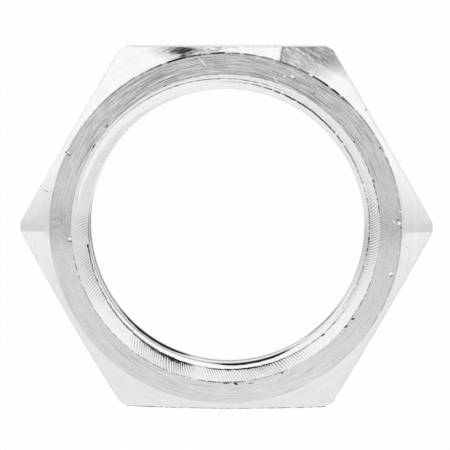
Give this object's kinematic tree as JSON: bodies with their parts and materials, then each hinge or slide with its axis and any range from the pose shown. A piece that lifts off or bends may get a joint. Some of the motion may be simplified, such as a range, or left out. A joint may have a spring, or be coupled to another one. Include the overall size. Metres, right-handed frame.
{
  "type": "locknut",
  "caption": "Flat hexagon locknut in stainless steel with a fine metric through thread, chamfered corners and a countersink at each face.",
  "frame": {"origin": "centre of the rear face, which the nut lies on", "axes": "+Z along the thread's axis, from the rear face to the front face; +X through a corner of the hexagon, so that two flats face +Y and -Y"},
  "size_m": [0.0274, 0.024, 0.005],
  "materials": {
    "stainless_steel": "turned stainless steel: fine concentric tool lines on the faces, bright drawn flats"
  },
  "bodies": {
    "root": {"locknut": "stainless_steel"}
  },
  "joints": []
}
